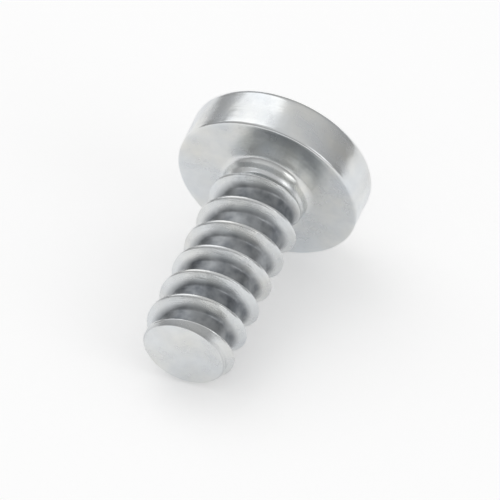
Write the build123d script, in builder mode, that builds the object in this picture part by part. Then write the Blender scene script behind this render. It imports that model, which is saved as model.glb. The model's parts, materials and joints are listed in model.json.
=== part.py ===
"""Cross-recess pan head screw with a coarse rolled thread and a flat end, in millimetres.

The screw is modelled upright on its own axis, flat end at z = 0 and crown on top, and is then laid
down as a loose screw comes to rest, on the rim of its head and on the first turn of its thread.
"""

from build123d import *
import os
from math import asin, atan, degrees, hypot, radians, sqrt, tan

# Head
head_diameter = 8.0
head_height = 3.1
crown_radius = 7.0
shoulder_radius = 0.3
rim_radius = 0.12

# Shank: the blank that the thread was rolled from still shows at the flat end and in the neck
length = 9.5
blank_diameter = 3.65
neck_length = 0.5
neck_fillet = 0.3
end_land = 0.3
end_bevel = 0.08

# Thread
thread_diameter = 4.2
core_diameter = 3.1
pitch = 1.4
thread_angle = 60
crest_width = 0.1
first_crest = 0.48
run_out = 0.6
right_hand = True

# Cross recess
recess_diameter = 4.4
recess_end_angle = 26.5
recess_tip_diameter = 2.29
recess_floor_angle = 28
wing_thickness = 0.82
wing_draft = 5.75
corner_bevel = 0.2

os.makedirs("parts", exist_ok=True)

crest_radius = thread_diameter / 2
core_radius = core_diameter / 2
blank_radius = blank_diameter / 2
head_radius = head_diameter / 2
recess_radius = recess_diameter / 2
recess_tip_radius = recess_tip_diameter / 2
head_top = length + head_height
neck_start = length - neck_length
flank_slope = tan(radians(thread_angle / 2))


def crown_height(radius):
    """Height of the crown's surface at a distance from the axis."""
    return head_top - crown_radius + sqrt(crown_radius**2 - radius**2)


# Thread: a ridge swept along a helix, over-long at both ends and deeper and taller than the thread
ridge_start = first_crest - pitch
ridge_spare = crest_width / 2
ridge_foot = core_radius - ridge_spare
ridge_top = crest_radius + ridge_spare
foot_width = crest_width + 2 * (crest_radius - ridge_foot) * flank_slope
top_width = crest_width - 2 * ridge_spare * flank_slope

with BuildPart() as rod:
    with BuildLine() as helix:
        Helix(pitch, length + pitch, core_radius, (0, 0, ridge_start), lefthand=not right_hand)
    with BuildSketch(Plane.XZ):
        with BuildLine():
            Polyline(
                (ridge_foot, ridge_start - foot_width / 2),
                (ridge_top, ridge_start - top_width / 2),
                (ridge_top, ridge_start + top_width / 2),
                (ridge_foot, ridge_start + foot_width / 2),
                close=True,
            )
        make_face()
    sweep(path=helix.wire(), is_frenet=True)
    with BuildSketch(Plane.YZ):
        with BuildLine():
            Polyline(
                (0, -2 * pitch),
                (blank_radius, -2 * pitch),
                (blank_radius, end_land),
                (core_radius, end_land + blank_radius - core_radius),
                (core_radius, length + 2 * pitch),
                (0, length + 2 * pitch),
                close=True,
            )
        make_face()
    revolve(axis=Axis.Z)

# Shank: the rod turned down to the crests, cut off flat and bevelled, and run out below the neck
flat_radius = blank_radius - end_bevel

with BuildPart() as shank:
    add(rod.part)
    with BuildSketch(Plane.XZ):
        with BuildLine():
            Polyline(
                (0, 0),
                (flat_radius, 0),
                (crest_radius, crest_radius - flat_radius),
                (crest_radius, neck_start - run_out),
                (core_radius, neck_start),
                (core_radius, neck_start + neck_length / 2),
                (0, neck_start + neck_length / 2),
                close=True,
            )
        make_face()
    revolve(axis=Axis.Z, mode=Mode.INTERSECT)

# Recess: four tapering wings, cut off by the punch's conical point
gauge_depth = (recess_radius - recess_tip_radius) / tan(radians(recess_end_angle))
gauge_floor = crown_height(recess_radius) - gauge_depth
recess_bottom = gauge_floor - recess_tip_radius * tan(radians(recess_floor_angle))
bottom_thickness = wing_thickness - 2 * (gauge_floor - recess_bottom) * tan(radians(wing_draft))
mouth_radius = recess_tip_radius + (head_top - gauge_floor) * tan(radians(recess_end_angle))

with BuildPart() as punch:
    with BuildSketch(Plane.XY.offset(recess_bottom)) as wings:
        Rectangle(head_diameter, bottom_thickness)
        Rectangle(bottom_thickness, head_diameter)
        chamfer(wings.vertices().sort_by_distance((0, 0))[:4], corner_bevel)
    extrude(amount=head_top - recess_bottom, taper=-wing_draft)
    with BuildSketch(Plane.YZ):
        with BuildLine():
            Polyline(
                (0, recess_bottom),
                (recess_tip_radius, gauge_floor),
                (mouth_radius, head_top),
                (0, head_top),
                close=True,
            )
        make_face()
    revolve(axis=Axis.Z, mode=Mode.INTERSECT)

# Head and neck: one turned outline, its corners rounded, with the recess punched into the crown
shoulder = (head_radius, crown_height(head_radius))
rim = (head_radius, length)
throat = (blank_radius, length)

with BuildPart() as head:
    with BuildSketch(Plane.YZ):
        with BuildLine():
            Polyline(
                (0, head_top),
                (0, neck_start - run_out),
                (ridge_foot, neck_start - run_out),
                (blank_radius, neck_start),
                throat,
                rim,
                shoulder,
            )
            RadiusArc(shoulder, (0, head_top), -crown_radius)
        make_face()
        for corner, radius in ((shoulder, shoulder_radius), (rim, rim_radius), (throat, neck_fillet)):
            fillet(vertices().sort_by_distance(corner)[0], radius)
    revolve(axis=Axis.Z)
    add(punch.part, mode=Mode.SUBTRACT)

with BuildPart() as upright:
    add(shank.part)
    add(head.part)

# Resting place: the head's rim and the first turn's crest, both at +Y, touch the floor when the
# axis rises towards the head by the lean
turn_to_contact = 1 / 4 if right_hand else 3 / 4
contact = first_crest + turn_to_contact * pitch - crest_width / 2
reach = length + rim_radius - contact
rise = head_radius - rim_radius - crest_radius
lean = degrees(atan(rise / reach) + asin(rim_radius / hypot(rise, reach)))
lying = Rotation(lean - 90, 0, 0)
box = (lying * upright.part).bounding_box()

with BuildPart() as pan_head_screw:
    with Locations(Pos(-box.center().X, -box.center().Y, -box.min.Z) * lying):
        add(upright.part)

pan_head_screw.part.label = "pan_head_screw"
export_step(pan_head_screw.part, "parts/pan_head_screw.step")
print("lean", round(lean, 3), "degrees; volume", round(pan_head_screw.part.volume, 2), "cubic mm")
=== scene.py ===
# %% [markdown]
# # A pan head screw
#
# This lesson dresses a small screw that was modelled in CAD. The CAD solid is right in every size,
# but it is cut into flat facets, and on bright metal each facet shows as a flat patch of reflection.
# So the screw gets a skin of its own here: one fine, closed surface that keeps the solid's form.

# %% Load the frame
import json
import bpy
import numpy as np
from mathutils import Matrix, Vector


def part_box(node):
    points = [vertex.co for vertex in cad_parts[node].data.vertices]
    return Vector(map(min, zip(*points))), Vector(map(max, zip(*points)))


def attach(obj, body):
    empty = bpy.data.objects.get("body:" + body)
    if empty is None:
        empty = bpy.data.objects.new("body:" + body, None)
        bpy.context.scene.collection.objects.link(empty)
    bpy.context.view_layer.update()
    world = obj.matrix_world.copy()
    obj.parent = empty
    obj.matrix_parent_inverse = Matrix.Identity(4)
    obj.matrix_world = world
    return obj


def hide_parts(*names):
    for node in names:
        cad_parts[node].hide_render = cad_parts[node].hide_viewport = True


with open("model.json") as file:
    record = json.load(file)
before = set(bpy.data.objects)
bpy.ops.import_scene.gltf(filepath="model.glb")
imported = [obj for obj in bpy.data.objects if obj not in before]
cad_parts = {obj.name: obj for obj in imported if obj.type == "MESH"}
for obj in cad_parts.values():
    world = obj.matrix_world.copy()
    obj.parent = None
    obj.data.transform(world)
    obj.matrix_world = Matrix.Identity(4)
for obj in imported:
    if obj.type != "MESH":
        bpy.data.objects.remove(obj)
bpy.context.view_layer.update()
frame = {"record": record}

node_name = "pan_head_screw"
mounts = {mount["name"]: mount for mount in frame["record"]["mounts"]}

# %% [markdown]
# ## Where the screw lies
#
# A loose screw lies on the rim of its head and on the first turn of its thread, so its axis rises
# a little towards the head. The thread's mount says where the axis is: it points off the flat end.
# Every size below is in millimetres along or across this axis, as on a workshop drawing.

# %% Sizes and axis
MM = 0.001

head_radius = 4.0
head_height = 3.1
crown_radius = 7.0
shoulder_radius = 0.3
rim_radius = 0.12

length = 9.5
blank_radius = 1.825
neck_length = 0.5
neck_fillet = 0.3
end_land = 0.3
end_bevel = 0.08

crest_radius = mounts["thread"]["dims"]["r_mm"]
core_radius = 1.55
pitch = 1.4
thread_angle = 60
crest_width = 0.1
first_crest = 0.48
run_out = 0.6

recess_radius = 2.2
recess_tip_radius = 1.145
recess_end_angle = 26.5
recess_floor_angle = 28
wing_thickness = 0.82
wing_draft = 5.75
corner_bevel = 0.2

neck_start = length - neck_length
head_top = length + head_height
flat_radius = blank_radius - end_bevel
crest_start = crest_radius - flat_radius

axis = -Vector(mounts["thread"]["axis"]).normalized()
across = Vector((1, 0, 0))
middle = Vector(mounts["thread"]["pos_m"])
tip = middle - axis * (crest_start + mounts["thread"]["dims"]["length_mm"] / 2) * MM
print("axis", axis, "flat end at", tip)

# %% [markdown]
# ## The turned and rolled shank
#
# A thread can be made by carrying a triangle along a helix. Here it is written as a surface instead:
# at each height and angle, how far is the steel from the axis? The nearest crest lies at a height that
# climbs one pitch per turn, and the ridge falls away from it along straight flanks. Whichever is
# larger counts, the ridge or the core, and the ridge itself is held in by the crests' own cylinder,
# the bevel at the flat end and the run-out under the head. Rolled steel has no knife edges, so each
# "larger" and "smaller" is a soft one that rounds the corner by a few hundredths of a millimetre.

# %% Shank surface
COLUMNS = 192
QUARTER = COLUMNS // 4
ROW_STEP = 0.03
END_STEPS = 5

angles = np.linspace(0, 2 * np.pi, COLUMNS, endpoint=False)
flank_slope = np.tan(np.radians(thread_angle / 2))


def soft_max(a, b, size):
    """Half of: a plus b plus the root of their difference squared plus size squared."""
    return (a + b + np.sqrt((a - b) ** 2 + size**2)) / 2


def soft_min(a, b, size):
    """The same from below: the negative of the soft maximum of the negatives."""
    return -soft_max(-a, -b, size)


def shank_radius(height, angle):
    """Distance of the steel from the axis: the larger of the turned core and the trimmed ridge.

    The ridge's radius is the crest's, less the distance to the nearest crest over the flank's slope.
    """
    root_edge, crest_edge = 0.07, 0.035
    land = blank_radius - np.maximum(0, height - end_land)
    flare = blank_radius + np.minimum(0, height - neck_start) * (blank_radius - core_radius) / run_out
    core = np.maximum(core_radius, np.maximum(land, flare))
    to_crest = (height - first_crest - pitch * angle / (2 * np.pi) + pitch / 2) % pitch - pitch / 2
    ridge = crest_radius - np.maximum(0, np.abs(to_crest) - crest_width / 2) / flank_slope
    bevel = flat_radius + height
    run_out_cone = crest_radius - (height - neck_start + run_out) * (crest_radius - core_radius) / run_out
    envelope = np.minimum(crest_radius, np.minimum(bevel, run_out_cone))
    trimmed = soft_min(ridge, envelope, crest_edge)
    return np.minimum(soft_max(core, trimmed, root_edge), np.minimum(crest_radius, bevel))


def rings(radius, height):
    """A grid of points: each radius and height carried round the axis."""
    x = radius * np.cos(angles)
    y = radius * np.sin(angles)
    return np.stack([x, y, np.broadcast_to(height, x.shape)], axis=-1)


shank_rows = int(round((length - neck_fillet) / ROW_STEP))
shank_heights = np.linspace(0, length - neck_fillet, shank_rows + 1)[:, None]
shank = rings(shank_radius(shank_heights, angles[None, :]), shank_heights)
end_face = rings(np.linspace(0, 1, END_STEPS + 1)[1:-1, None] * flat_radius, 0.0)
print("shank grid", shank.shape)

# %% [markdown]
# ## The head's turned outline
#
# Above the neck the screw is simply round, so its outline is a list of corners and arcs, carried
# round the axis. The fillet under the head, the broken edge of the rim and the round shoulder are arcs
# with rows close together, because that is where bright metal shows its thin lines of light.

# %% Head outline
def arc(centre, radius, start, stop, steps):
    """Points on an arc in the plane of radius and height: centre plus radius along each direction."""
    turn = np.radians(np.linspace(start, stop, steps))
    return np.stack([centre[0] + radius * np.cos(turn), centre[1] + radius * np.sin(turn)], axis=-1)


def crown_height(radius):
    """Height of the crown: a sphere of the crown's radius whose top is the head's top."""
    return head_top - crown_radius + np.sqrt(crown_radius**2 - radius**2)


# The shoulder's arc touches the side and lies inside the crown's sphere, so its centre is one
# shoulder radius in from both.
shoulder_x = head_radius - shoulder_radius
shoulder_z = head_top - crown_radius + np.sqrt((crown_radius - shoulder_radius) ** 2 - shoulder_x**2)
shoulder_end = np.degrees(np.arctan2(shoulder_z - head_top + crown_radius, shoulder_x))
throat_centre = (blank_radius + neck_fillet, length - neck_fillet)
rim_centre = (head_radius - rim_radius, length + rim_radius)

throat = arc(throat_centre, neck_fillet, 180, 90, 9)[1:]
under = np.stack([np.linspace(throat[-1, 0], rim_centre[0], 10), np.full(10, length)], axis=-1)[1:-1]
rim = arc(rim_centre, rim_radius, -90, 0, 7)
side = np.stack([np.full(8, head_radius), np.linspace(rim[-1, 1], shoulder_z, 8)], axis=-1)[1:-1]
shoulder = arc((shoulder_x, shoulder_z), shoulder_radius, 0, shoulder_end, 8)
outline = np.concatenate([throat, under, rim, side, shoulder])
head = rings(outline[:, :1], outline[:, 1:])
print("head outline", outline.shape, "shoulder ends at", shoulder[-1])

# %% [markdown]
# ## The cross recess
#
# A punch with four tapering wings forms the recess. Seen from above, its outline is a cross whose
# wing ends lie on a cone and whose inner corners are bevelled. The grid's columns are shared out so
# that some of them run exactly along the corners: then the crown's rings can turn step by step from
# a circle into the cross, the walls follow the punch's draft, and the floor closes in a flat cone.

# %% Recess outline
END_COLUMNS, SIDE_COLUMNS, BEVEL_COLUMNS = 6, 14, 8
assert 2 * END_COLUMNS + 2 * SIDE_COLUMNS + BEVEL_COLUMNS == QUARTER

tan_draft = np.tan(np.radians(wing_draft))
tan_end = np.tan(np.radians(recess_end_angle))
tan_floor = np.tan(np.radians(recess_floor_angle))
gauge_floor = crown_height(recess_radius) - (recess_radius - recess_tip_radius) / tan_end
recess_bottom = gauge_floor - recess_tip_radius * tan_floor


def cross_outline(height):
    """The punch's outline at each column's own height, as x and y.

    Half a wing's thickness and a wing's reach both grow with height. Between the corners, the columns
    are spaced evenly: along the wing's end, its side and the inner bevel, and mirrored beyond that.
    """
    grown = (height - recess_bottom) * tan_draft
    half = wing_thickness / 2 - (gauge_floor - recess_bottom) * tan_draft + grown
    bevel = corner_bevel - (2 - np.sqrt(2)) * grown
    reach = recess_tip_radius + (height - gauge_floor) * tan_end
    column = np.arange(COLUMNS)
    quarter_turn = column // QUARTER
    step = column % QUARTER
    mirrored = step > QUARTER / 2
    step = np.where(mirrored, QUARTER - step, step)
    end_angle = np.arcsin(half / reach) * np.minimum(step / END_COLUMNS, 1)
    side_share = np.clip((step - END_COLUMNS) / SIDE_COLUMNS, 0, 1)
    bevel_share = np.clip((step - END_COLUMNS - SIDE_COLUMNS) / BEVEL_COLUMNS, 0, 1)
    corner_x = np.sqrt(reach**2 - half**2)
    along_side = corner_x + side_share * (half + bevel - corner_x)
    x = np.where(step <= END_COLUMNS, reach * np.cos(end_angle), along_side)
    y = np.where(step <= END_COLUMNS, reach * np.sin(end_angle), half)
    x = x - bevel_share * bevel
    y = y + bevel_share * bevel
    x, y = np.where(mirrored, y, x), np.where(mirrored, x, y)
    turn = quarter_turn * np.pi / 2
    return np.stack([x * np.cos(turn) - y * np.sin(turn), x * np.sin(turn) + y * np.cos(turn)], axis=-1)


def settle(surface, start, tries=30):
    """The height at which the punch's outline meets a surface of revolution, found by repeating."""
    height = np.full(COLUMNS, start)
    for _ in range(tries):
        height = surface(np.linalg.norm(cross_outline(height), axis=-1))
    return height


mouth_height = settle(crown_height, head_top)
floor_height = settle(lambda radius: recess_bottom + radius * tan_floor, gauge_floor)
mouth = cross_outline(mouth_height)
print("recess mouth from", mouth_height.min(), "to", mouth_height.max())
print("recess floor from", floor_height.min(), "to", floor_height.max())

# %% [markdown]
# Between the shoulder and the mouth, each column runs straight towards its own point of the cross
# and is then lifted onto the crown. The punch leaves a small broken edge at the mouth, and it is
# drawn by stopping the crown and starting the walls a little short of the corner.

# %% Crown, walls and floor
EDGE = 0.045
CROWN_STEPS, WALL_STEPS, FLOOR_STEPS = 12, 8, 6


def on_crown(points):
    """Points across the axis, lifted to the crown's height at their distance from it."""
    distance = np.linalg.norm(points, axis=-1, keepdims=True)
    return np.concatenate([points, crown_height(distance)], axis=-1)


ring = np.stack([np.cos(angles), np.sin(angles)], axis=-1) * shoulder[-1, 0]
inward = mouth - ring
share = 1 - EDGE / np.linalg.norm(inward, axis=-1, keepdims=True)
crown = np.stack([on_crown(ring + inward * share * t) for t in np.linspace(0, 1, CROWN_STEPS + 1)[1:]])

walls = []
depth = mouth_height - floor_height
for t in np.linspace(0, 1, WALL_STEPS + 1):
    height = mouth_height - EDGE - t * (depth - EDGE)
    walls.append(np.concatenate([cross_outline(height), height[:, None]], axis=-1))
walls = np.stack(walls)
corner = np.concatenate([mouth, mouth_height[:, None]], axis=-1)
edge = corner / 2 + crown[-1] / 4 + walls[0] / 4

floor_rows = []
for t in np.linspace(1, 0, FLOOR_STEPS + 1)[1:-1]:
    across_floor = walls[-1][:, :2] * t
    lifted = recess_bottom + np.linalg.norm(across_floor, axis=-1, keepdims=True) * tan_floor
    floor_rows.append(np.concatenate([across_floor, lifted], axis=-1))

grid = np.concatenate([end_face, shank, head, crown, edge[None], walls, np.stack(floor_rows)])
print("grid of rows, columns", grid.shape[:2])

# %% [markdown]
# ## One closed mesh
#
# The rows join into one skin: every four neighbours make a face, the last column meets the first, and
# a point on the axis closes each end. Turning the whole grid onto the screw's axis before the mesh is
# made keeps the object itself at the origin.

# %% Mesh
def closed_skin(name, grid, first_pole, last_pole, origin, along, sideways):
    """A mesh from a grid of rows by columns: faces between neighbours, and a fan at each pole."""
    rows, columns = grid.shape[:2]
    points = np.concatenate([grid.reshape(-1, 3), [first_pole, last_pole]])
    frame_of_axis = np.array([sideways, along.cross(sideways), along])
    points = np.array(origin) + points @ frame_of_axis * MM
    here = np.arange(columns)
    beside = (here + 1) % columns
    row_starts = np.arange(rows - 1)[:, None] * columns
    quads = np.stack([row_starts + here, row_starts + beside, row_starts + columns + beside,
                      row_starts + columns + here], axis=-1).reshape(-1, 4)
    last_row = (rows - 1) * columns
    poles = np.full(columns, rows * columns)
    first_fan = np.stack([poles, beside, here], axis=-1)
    last_fan = np.stack([last_row + here, last_row + beside, poles + 1], axis=-1)
    mesh = bpy.data.meshes.new(name)
    mesh.from_pydata(points.tolist(), [], quads.tolist() + first_fan.tolist() + last_fan.tolist())
    mesh.update()
    return mesh


skin = closed_skin("screw_skin", grid, (0, 0, 0), (0, 0, recess_bottom), tip, axis, across)
print("skin", len(skin.polygons), "faces")

# %% [markdown]
# Smooth shading blends the faces into one surface, apart from edges that are marked sharp. Those are
# the ones that bend by more than 38 degrees, at the flat end and in the recess. Rolling leaves no such
# edge, so on the thread they are smooth as well, and each crest carries one unbroken line of light.

# %% Smooth and sharp edges
SHARPEST_SMOOTH_BEND = 38
skin.shade_smooth()
skin.set_sharp_from_angle(angle=np.radians(SHARPEST_SMOOTH_BEND))
edge_rows = np.empty(2 * len(skin.edges), dtype=np.int32)
skin.edges.foreach_get("vertices", edge_rows)
edge_rows = edge_rows.reshape(-1, 2) // COLUMNS
rolled = ((edge_rows > len(end_face)) & (edge_rows < len(end_face) + len(shank))).all(axis=1)
sharp = np.empty(len(skin.edges), dtype=bool)
skin.attributes["sharp_edge"].data.foreach_get("value", sharp)
skin.attributes["sharp_edge"].data.foreach_set("value", sharp & ~rolled)
print("sharp edges", (sharp & ~rolled).sum(), "and made smooth on the thread", (sharp & rolled).sum())

# %% In place of the solid
screw = bpy.data.objects.new("screw_skin", skin)
bpy.context.scene.collection.objects.link(screw)
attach(screw, "root")
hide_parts(node_name)
low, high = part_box(node_name)
corners = np.array([v.co for v in skin.vertices])
print("past the solid's box", corners.min(0) - np.array(low), corners.max(0) - np.array(high))

# %% [markdown]
# ## Clear zinc plating on rolled steel
#
# The screw was headed and rolled from wire, then tumbled in a plating barrel. That leaves a bright,
# slightly blue-grey metal with three kinds of unevenness: a cloudy sheen where the zinc grew thicker
# or thinner, shallow dings from the other screws in the barrel, and fine rings from the wire's drawing
# and the rolling dies. The grooves are rougher than the crests, because nothing rubs there, and their
# colour is darker, which is painted shade between the ridges.
# All of it is worked out on the screw's own axis and in millimetres, by one Mapping node.

# %% Helpers for materials
def linear(colour):
    """sRGB hex to linear: up to 0.04045 over 12.92, above that 0.055 more, over 1.055, to the 2.4."""
    parts = np.array([int(colour[i:i + 2], 16) for i in (1, 3, 5)]) / 255
    curve = np.where(parts <= 0.04045, parts / 12.92, ((parts + 0.055) / 1.055) ** 2.4)
    return (*curve.tolist(), 1.0)


def add(tree, kind, links=(), **settings):
    """Add a node, give it its settings, and fill its sockets with numbers or other nodes' outputs."""
    node = tree.nodes.new(kind)
    for name, value in settings.items():
        setattr(node, name, value)
    for socket, value in dict(links).items():
        if isinstance(value, bpy.types.NodeSocket):
            tree.links.new(value, node.inputs[socket])
        else:
            node.inputs[socket].default_value = value
    return node


# %% Zinc-plated steel
plating = bpy.data.materials.new("clear_zinc_plated_steel")
plating.use_nodes = True
tree = plating.node_tree
tree.nodes.clear()

own_axes = Matrix((across, axis.cross(across), axis)).transposed()
place = add(tree, "ShaderNodeTexCoord")
own = add(tree, "ShaderNodeMapping", vector_type="TEXTURE", links={
    "Vector": place.outputs["Object"], "Location": tip, "Rotation": own_axes.to_euler(),
    "Scale": (MM, MM, MM)})
height = add(tree, "ShaderNodeSeparateXYZ", links={0: own.outputs[0]})
flattened = add(tree, "ShaderNodeVectorMath", operation="MULTIPLY", links={
    0: own.outputs[0], 1: (1, 1, 0)})
radius = add(tree, "ShaderNodeVectorMath", operation="LENGTH", links={0: flattened.outputs[0]})
section = add(tree, "ShaderNodeCombineXYZ", links={
    "X": radius.outputs["Value"], "Y": height.outputs["Z"]})
print("material on the screw's own axes", [round(a, 4) for a in own_axes.to_euler()])

# %% [markdown]
# The plating's cloudiness and its faint blue and straw tints are noise, one to two millimetres across.
# The dings are noise too, cut off so that only its peaks remain, as scattered dents a few tenths of a
# millimetre wide. The rings are noise of the distance from the axis and of the height, so they run
# round the screw, and a slight drift across it keeps them from being perfect circles. They are really
# a few hundredths of a millimetre apart, which a picture this size can't hold, so they are drawn at an
# eighth of a millimetre. The flat end was sheared off the wire, so its lines run straight across
# instead, about eight times as long as they are wide.

# %% Patterns of the plating
cloud_size = 0.9
tint_size = 1.7
ding_spacing = 0.7
ring_width = 0.125
ring_drift = (0.03, 0.03, 0.0)
shear_width = 0.14
shear_stretch = (0.12, 1.0, 1.0)

cloud = add(tree, "ShaderNodeTexNoise", links={
    "Vector": own.outputs[0], "Scale": 1 / cloud_size, "Detail": 3, "Roughness": 0.55})
tint = add(tree, "ShaderNodeTexNoise", links={
    "Vector": own.outputs[0], "Scale": 1 / tint_size, "Detail": 1, "Roughness": 0.4})
ding_noise = add(tree, "ShaderNodeTexNoise", links={
    "Vector": own.outputs[0], "Scale": 1 / ding_spacing, "Detail": 0})
dings = add(tree, "ShaderNodeMapRange", interpolation_type="SMOOTHSTEP", links={
    "Value": ding_noise.outputs["Fac"], "From Min": 0.5, "From Max": 0.8, "To Min": 1, "To Max": 0})
drift = add(tree, "ShaderNodeVectorMath", operation="MULTIPLY_ADD", links={
    0: own.outputs[0], 1: ring_drift, 2: section.outputs[0]})
rings_round = add(tree, "ShaderNodeTexNoise", links={
    "Vector": drift.outputs[0], "Scale": 1 / ring_width, "Detail": 4, "Roughness": 0.6})
lines_across = add(tree, "ShaderNodeVectorMath", operation="MULTIPLY", links={
    0: own.outputs[0], 1: shear_stretch})
sheared = add(tree, "ShaderNodeTexNoise", links={
    "Vector": lines_across.outputs[0], "Scale": 1 / shear_width, "Detail": 3, "Roughness": 0.6})
at_end = add(tree, "ShaderNodeMapRange", links={
    "Value": height.outputs["Z"], "From Min": 0.0, "From Max": end_bevel / 2, "To Min": 1, "To Max": 0})
tool_marks = add(tree, "ShaderNodeMix", data_type="FLOAT", links={
    "Factor": at_end.outputs["Result"], 2: rings_round.outputs["Fac"], 3: sheared.outputs["Fac"]})
print("patterns", len(tree.nodes), "nodes so far")

# %% [markdown]
# Where the metal is rubbed and where it isn't also follows from its own shape. On the shank, the
# further in towards the core, the rougher and the darker, more so in some places than in others. The
# roughness is as thread rolling leaves it; the darkness is painted shade in the grooves. On the head,
# the rim and the shoulder are two circles, and a point's distance from them in the outline says how
# close it is to a rubbed edge.

# %% Rubbed edges and dull grooves
# How far out from the core the grooves' extra roughness and their painted shade reach.
dull_and_shade_depth = 0.35
rubbed_width = 0.12
rubbed_fade = 0.35

groove = add(tree, "ShaderNodeMapRange", interpolation_type="SMOOTHSTEP", links={
    "Value": radius.outputs["Value"], "From Min": core_radius, "From Max": core_radius + dull_and_shade_depth,
    "To Min": 1, "To Max": 0})
on_shank = add(tree, "ShaderNodeMapRange", links={
    "Value": height.outputs["Z"], "From Min": neck_start - run_out, "From Max": neck_start,
    "To Min": 1, "To Max": 0})
past_end = add(tree, "ShaderNodeMath", operation="SUBTRACT", links={0: 1.0, 1: at_end.outputs["Result"]})
in_thread = add(tree, "ShaderNodeMath", operation="MULTIPLY", links={
    0: on_shank.outputs["Result"], 1: past_end.outputs[0]})
patchy = add(tree, "ShaderNodeMapRange", links={
    "Value": cloud.outputs["Fac"], "From Min": 0.35, "From Max": 0.65, "To Min": 1, "To Max": 0.6})
patchy_groove = add(tree, "ShaderNodeMath", operation="MULTIPLY", links={
    0: groove.outputs["Result"], 1: patchy.outputs["Result"]})
# This mask sets both the grooves' extra roughness and their painted shade.
dullness_and_groove_shade = add(tree, "ShaderNodeMath", operation="MULTIPLY", links={
    0: patchy_groove.outputs[0], 1: in_thread.outputs[0]})
to_rim = add(tree, "ShaderNodeVectorMath", operation="DISTANCE", links={
    0: section.outputs[0], 1: (head_radius, length, 0)})
to_shoulder = add(tree, "ShaderNodeVectorMath", operation="DISTANCE", links={
    0: section.outputs[0], 1: (head_radius, crown_height(head_radius), 0)})
to_edge = add(tree, "ShaderNodeMath", operation="MINIMUM", links={
    0: to_rim.outputs["Value"], 1: to_shoulder.outputs["Value"]})
rubbed = add(tree, "ShaderNodeMapRange", interpolation_type="SMOOTHSTEP", links={
    "Value": to_edge.outputs[0], "From Min": rubbed_width, "From Max": rubbed_fade,
    "To Min": 1, "To Max": 0})
print("masks", len(tree.nodes), "nodes so far")

# %% [markdown]
# Now the patterns become a finish. A metal's base colour is the colour of its reflections, so bright
# zinc is a pale, slightly blue grey. Towards the grooves' roots it is mixed with a darker grey, which
# is painted shade. Plated steel is neither a mirror nor matt: a roughness between 0.2 and 0.3 keeps
# the panels' reflections in one piece and softens their edges. Edges that rub in the barrel are a
# little smoother, and grooves are rougher.
# The dents and tool marks are only a few thousandths of a millimetre deep, so they are bump.

# %% Colour, sheen and relief
# The fourth colour, the darker grey, is painted shade for the thread's grooves.
blue, straw, cloudy, painted_groove_shade = (linear(colour) for colour in ("#dde3ea", "#e6e3da", "#c6cbd1", "#6c7075"))
groove_roughness = 0.14
edge_polish = -0.08
ding_depth = 0.006
mark_depth = 0.008

tinted = add(tree, "ShaderNodeMix", data_type="RGBA", links={
    "Factor": tint.outputs["Fac"], 6: blue, 7: straw})
cloud_share = add(tree, "ShaderNodeMapRange", links={
    "Value": cloud.outputs["Fac"], "From Min": 0.3, "From Max": 0.75, "To Min": 0, "To Max": 0.5})
clouded = add(tree, "ShaderNodeMix", data_type="RGBA", links={
    "Factor": cloud_share.outputs["Result"], 6: tinted.outputs[2], 7: cloudy})
# Painted shade: towards the core the colour is mixed into the darker grey, as if the grooves lay in
# shadow.
coloured = add(tree, "ShaderNodeMix", data_type="RGBA", links={
    "Factor": dullness_and_groove_shade.outputs[0], 6: clouded.outputs[2], 7: painted_groove_shade})
sheen = add(tree, "ShaderNodeMapRange", links={
    "Value": cloud.outputs["Fac"], "From Min": 0.3, "From Max": 0.7, "To Min": 0.2, "To Max": 0.3})
duller = add(tree, "ShaderNodeMath", operation="MULTIPLY_ADD", links={
    0: dullness_and_groove_shade.outputs[0], 1: groove_roughness, 2: sheen.outputs["Result"]})
roughness = add(tree, "ShaderNodeMath", operation="MULTIPLY_ADD", links={
    0: rubbed.outputs["Result"], 1: edge_polish, 2: duller.outputs[0]})
dented = add(tree, "ShaderNodeBump", links={
    "Height": dings.outputs["Result"], "Distance": ding_depth * MM, "Strength": 1.0})
marked = add(tree, "ShaderNodeBump", links={
    "Height": tool_marks.outputs[0], "Distance": mark_depth * MM, "Strength": 1.0,
    "Normal": dented.outputs["Normal"]})
steel = add(tree, "ShaderNodeBsdfPrincipled", links={
    "Metallic": 1.0, "Base Color": coloured.outputs[2], "Roughness": roughness.outputs[0],
    "Normal": marked.outputs["Normal"]})
add(tree, "ShaderNodeOutputMaterial", links={"Surface": steel.outputs["BSDF"]})
skin.materials.append(plating)
print("material nodes", len(tree.nodes))

# %% [markdown]
# ## Floor, light and camera
#
# The drawing shows the screw on plain white, so it lies on a white floor that keeps a soft shadow. To
# the camera, and in the metal's reflections, a little of the floor's white is its own: that is what
# lifts it to the paper's white without adding light to the screw.
# Bright metal is a mirror of the room: large, even panels give it long calm highlights, and the
# grey of the walls, darker lower down, gives the bands that show the thread's form. Below the horizon
# the room is as white as the floor, as if the paper went on for ever.

# %% Floor and room
FLOOR_HALF = 1.5
OWN_WHITE = 0.3
WALLS_LOW, WALLS_HIGH = 0.32, 0.74

paper = bpy.data.materials.new("white_paper_sweep")
paper.use_nodes = True
tree = paper.node_tree
tree.nodes.clear()
path = add(tree, "ShaderNodeLightPath")
seen = add(tree, "ShaderNodeMath", operation="MAXIMUM", links={
    0: path.outputs["Is Camera Ray"], 1: path.outputs["Is Glossy Ray"]})
seen_through = add(tree, "ShaderNodeMath", operation="MAXIMUM", links={
    0: seen.outputs[0], 1: path.outputs["Is Transmission Ray"]})
own_white = add(tree, "ShaderNodeMath", operation="MULTIPLY", links={
    0: seen_through.outputs[0], 1: OWN_WHITE})
sheet = add(tree, "ShaderNodeBsdfDiffuse", links={"Color": linear("#f4f4f4")})
glow = add(tree, "ShaderNodeEmission", links={"Color": (1, 1, 1, 1), "Strength": own_white.outputs[0]})
lifted = add(tree, "ShaderNodeAddShader", links={0: sheet.outputs[0], 1: glow.outputs[0]})
add(tree, "ShaderNodeOutputMaterial", links={"Surface": lifted.outputs[0]})

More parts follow.
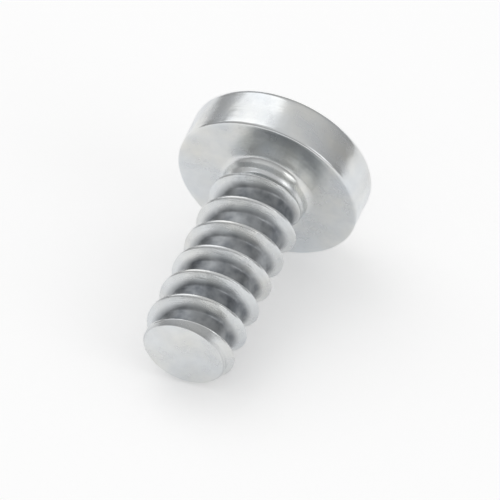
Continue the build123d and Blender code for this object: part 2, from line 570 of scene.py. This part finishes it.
floor_corners = np.array([(-1, -1, 0), (1, -1, 0), (1, 1, 0), (-1, 1, 0)]) * FLOOR_HALF
floor_mesh = bpy.data.meshes.new("floor")
floor_mesh.from_pydata(floor_corners.tolist(), [], [(0, 1, 2, 3)])
floor_mesh.materials.append(paper)
floor = bpy.data.objects.new("floor", floor_mesh)
bpy.context.scene.collection.objects.link(floor)

world = bpy.data.worlds.new("grey_room")
bpy.context.scene.world = world
world.use_nodes = True
tree = world.node_tree
tree.nodes.clear()
way = add(tree, "ShaderNodeTexCoord")
upward = add(tree, "ShaderNodeSeparateXYZ", links={0: way.outputs["Generated"]})
walls_light = add(tree, "ShaderNodeMapRange", links={
    "Value": upward.outputs["Z"], "From Min": 0.0, "From Max": 1.0,
    "To Min": WALLS_LOW, "To Max": WALLS_HIGH})
below = add(tree, "ShaderNodeMath", operation="LESS_THAN", links={0: upward.outputs["Z"], 1: 0.0})
brightness = add(tree, "ShaderNodeMix", data_type="FLOAT", links={
    "Factor": below.outputs[0], 2: walls_light.outputs["Result"], 3: 1.0})
room = add(tree, "ShaderNodeBackground", links={
    "Color": (1, 1, 1, 1), "Strength": brightness.outputs[0]})
add(tree, "ShaderNodeOutputWorld", links={"Surface": room.outputs[0]})
print("floor", 2 * FLOOR_HALF, "m wide")


# %% Soft panels
def panel(name, where, size, watts):
    """A square lamp that faces the screw: its brightness is its power over pi times its area."""
    lamp = bpy.data.lights.new(name, "AREA")
    lamp.shape = "SQUARE"
    lamp.size = size
    lamp.energy = watts
    made = bpy.data.objects.new(name, lamp)
    made.location = where
    made.rotation_euler = (-Vector(where)).to_track_quat("-Z", "Y").to_euler()
    bpy.context.scene.collection.objects.link(made)
    print(name, "brightness", round(watts / (np.pi * size**2), 2))


panel("key_panel", (-0.20, 0.12, 0.30), 0.32, 0.23)
panel("fill_panel", (0.30, -0.12, 0.16), 0.20, 0.14)

# %% [markdown]
# The drawing keeps the shank's two sides nearly parallel, so the camera is orthographic. How flat the
# drawn ellipses are gives the angle between the screw's axis and the line of sight, and their tilt
# gives the turn: a level camera sees the lying screw so from 22 degrees to the right and 38 above. The
# middle of the flat end, in pixels of the picture, then settles the framing.

# %% Camera
PICTURE = 500
PIXELS_PER_MM = 24.0
CAMERA_AWAY = 0.3
azimuth, elevation = np.radians(21.97), np.radians(38.38)
end_x, end_y = 183.4, 354.2

level = Vector((np.sin(azimuth), -np.cos(azimuth), 0))
back = level * np.cos(elevation) + Vector((0, 0, np.sin(elevation)))
right = Vector((np.cos(azimuth), np.sin(azimuth), 0))
up = back.cross(right)
from_end = (right * (PICTURE / 2 - end_x) + up * (end_y - PICTURE / 2)) / PIXELS_PER_MM * MM
target = tip + from_end
lens = bpy.data.cameras.new("camera")
lens.type = "ORTHO"
lens.ortho_scale = PICTURE / PIXELS_PER_MM * MM
lens.clip_start = 0.01
camera = bpy.data.objects.new("camera", lens)
turned_camera = Matrix((right, up, back)).transposed().to_4x4()
camera.matrix_world = Matrix.Translation(target + back * CAMERA_AWAY) @ turned_camera
bpy.context.scene.collection.objects.link(camera)
bpy.context.scene.camera = camera
bpy.context.scene.view_settings.view_transform = "Standard"
print("camera aims at", target)
